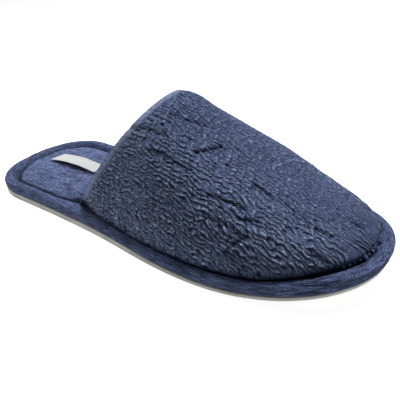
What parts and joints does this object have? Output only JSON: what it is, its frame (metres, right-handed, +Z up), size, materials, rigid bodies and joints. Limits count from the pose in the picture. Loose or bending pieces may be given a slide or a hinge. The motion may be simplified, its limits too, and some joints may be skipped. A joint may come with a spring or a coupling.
{
  "type": "scuff slipper",
  "caption": "Right-foot scuff slipper: padded crinkled-cloth upper closed at the toe, open heel, domed insole in a padded rim, thin rubber outsole.",
  "frame": {"origin": "on the ground, under the middle of the slipper's box", "axes": "+X towards the toe, +Y towards the inner (medial) side of the right foot, +Z up"},
  "size_m": [0.29, 0.1164, 0.0883],
  "materials": {
    "outsole_rubber": "matt grey-beige thermoplastic rubber",
    "rim_cloth": "fine navy cotton with lengthwise ribs, matt",
    "insole_cloth": "fine navy cotton over foam, soft wrinkles, matt",
    "upper_cloth": "crinkled navy cotton over padding, matt",
    "label_weave": "plain off-white woven tape"
  },
  "bodies": {
    "root": {"outsole": "outsole_rubber", "midsole": "rim_cloth", "insole": "insole_cloth", "upper": "upper_cloth", "label": "label_weave"}
  },
  "joints": []
}
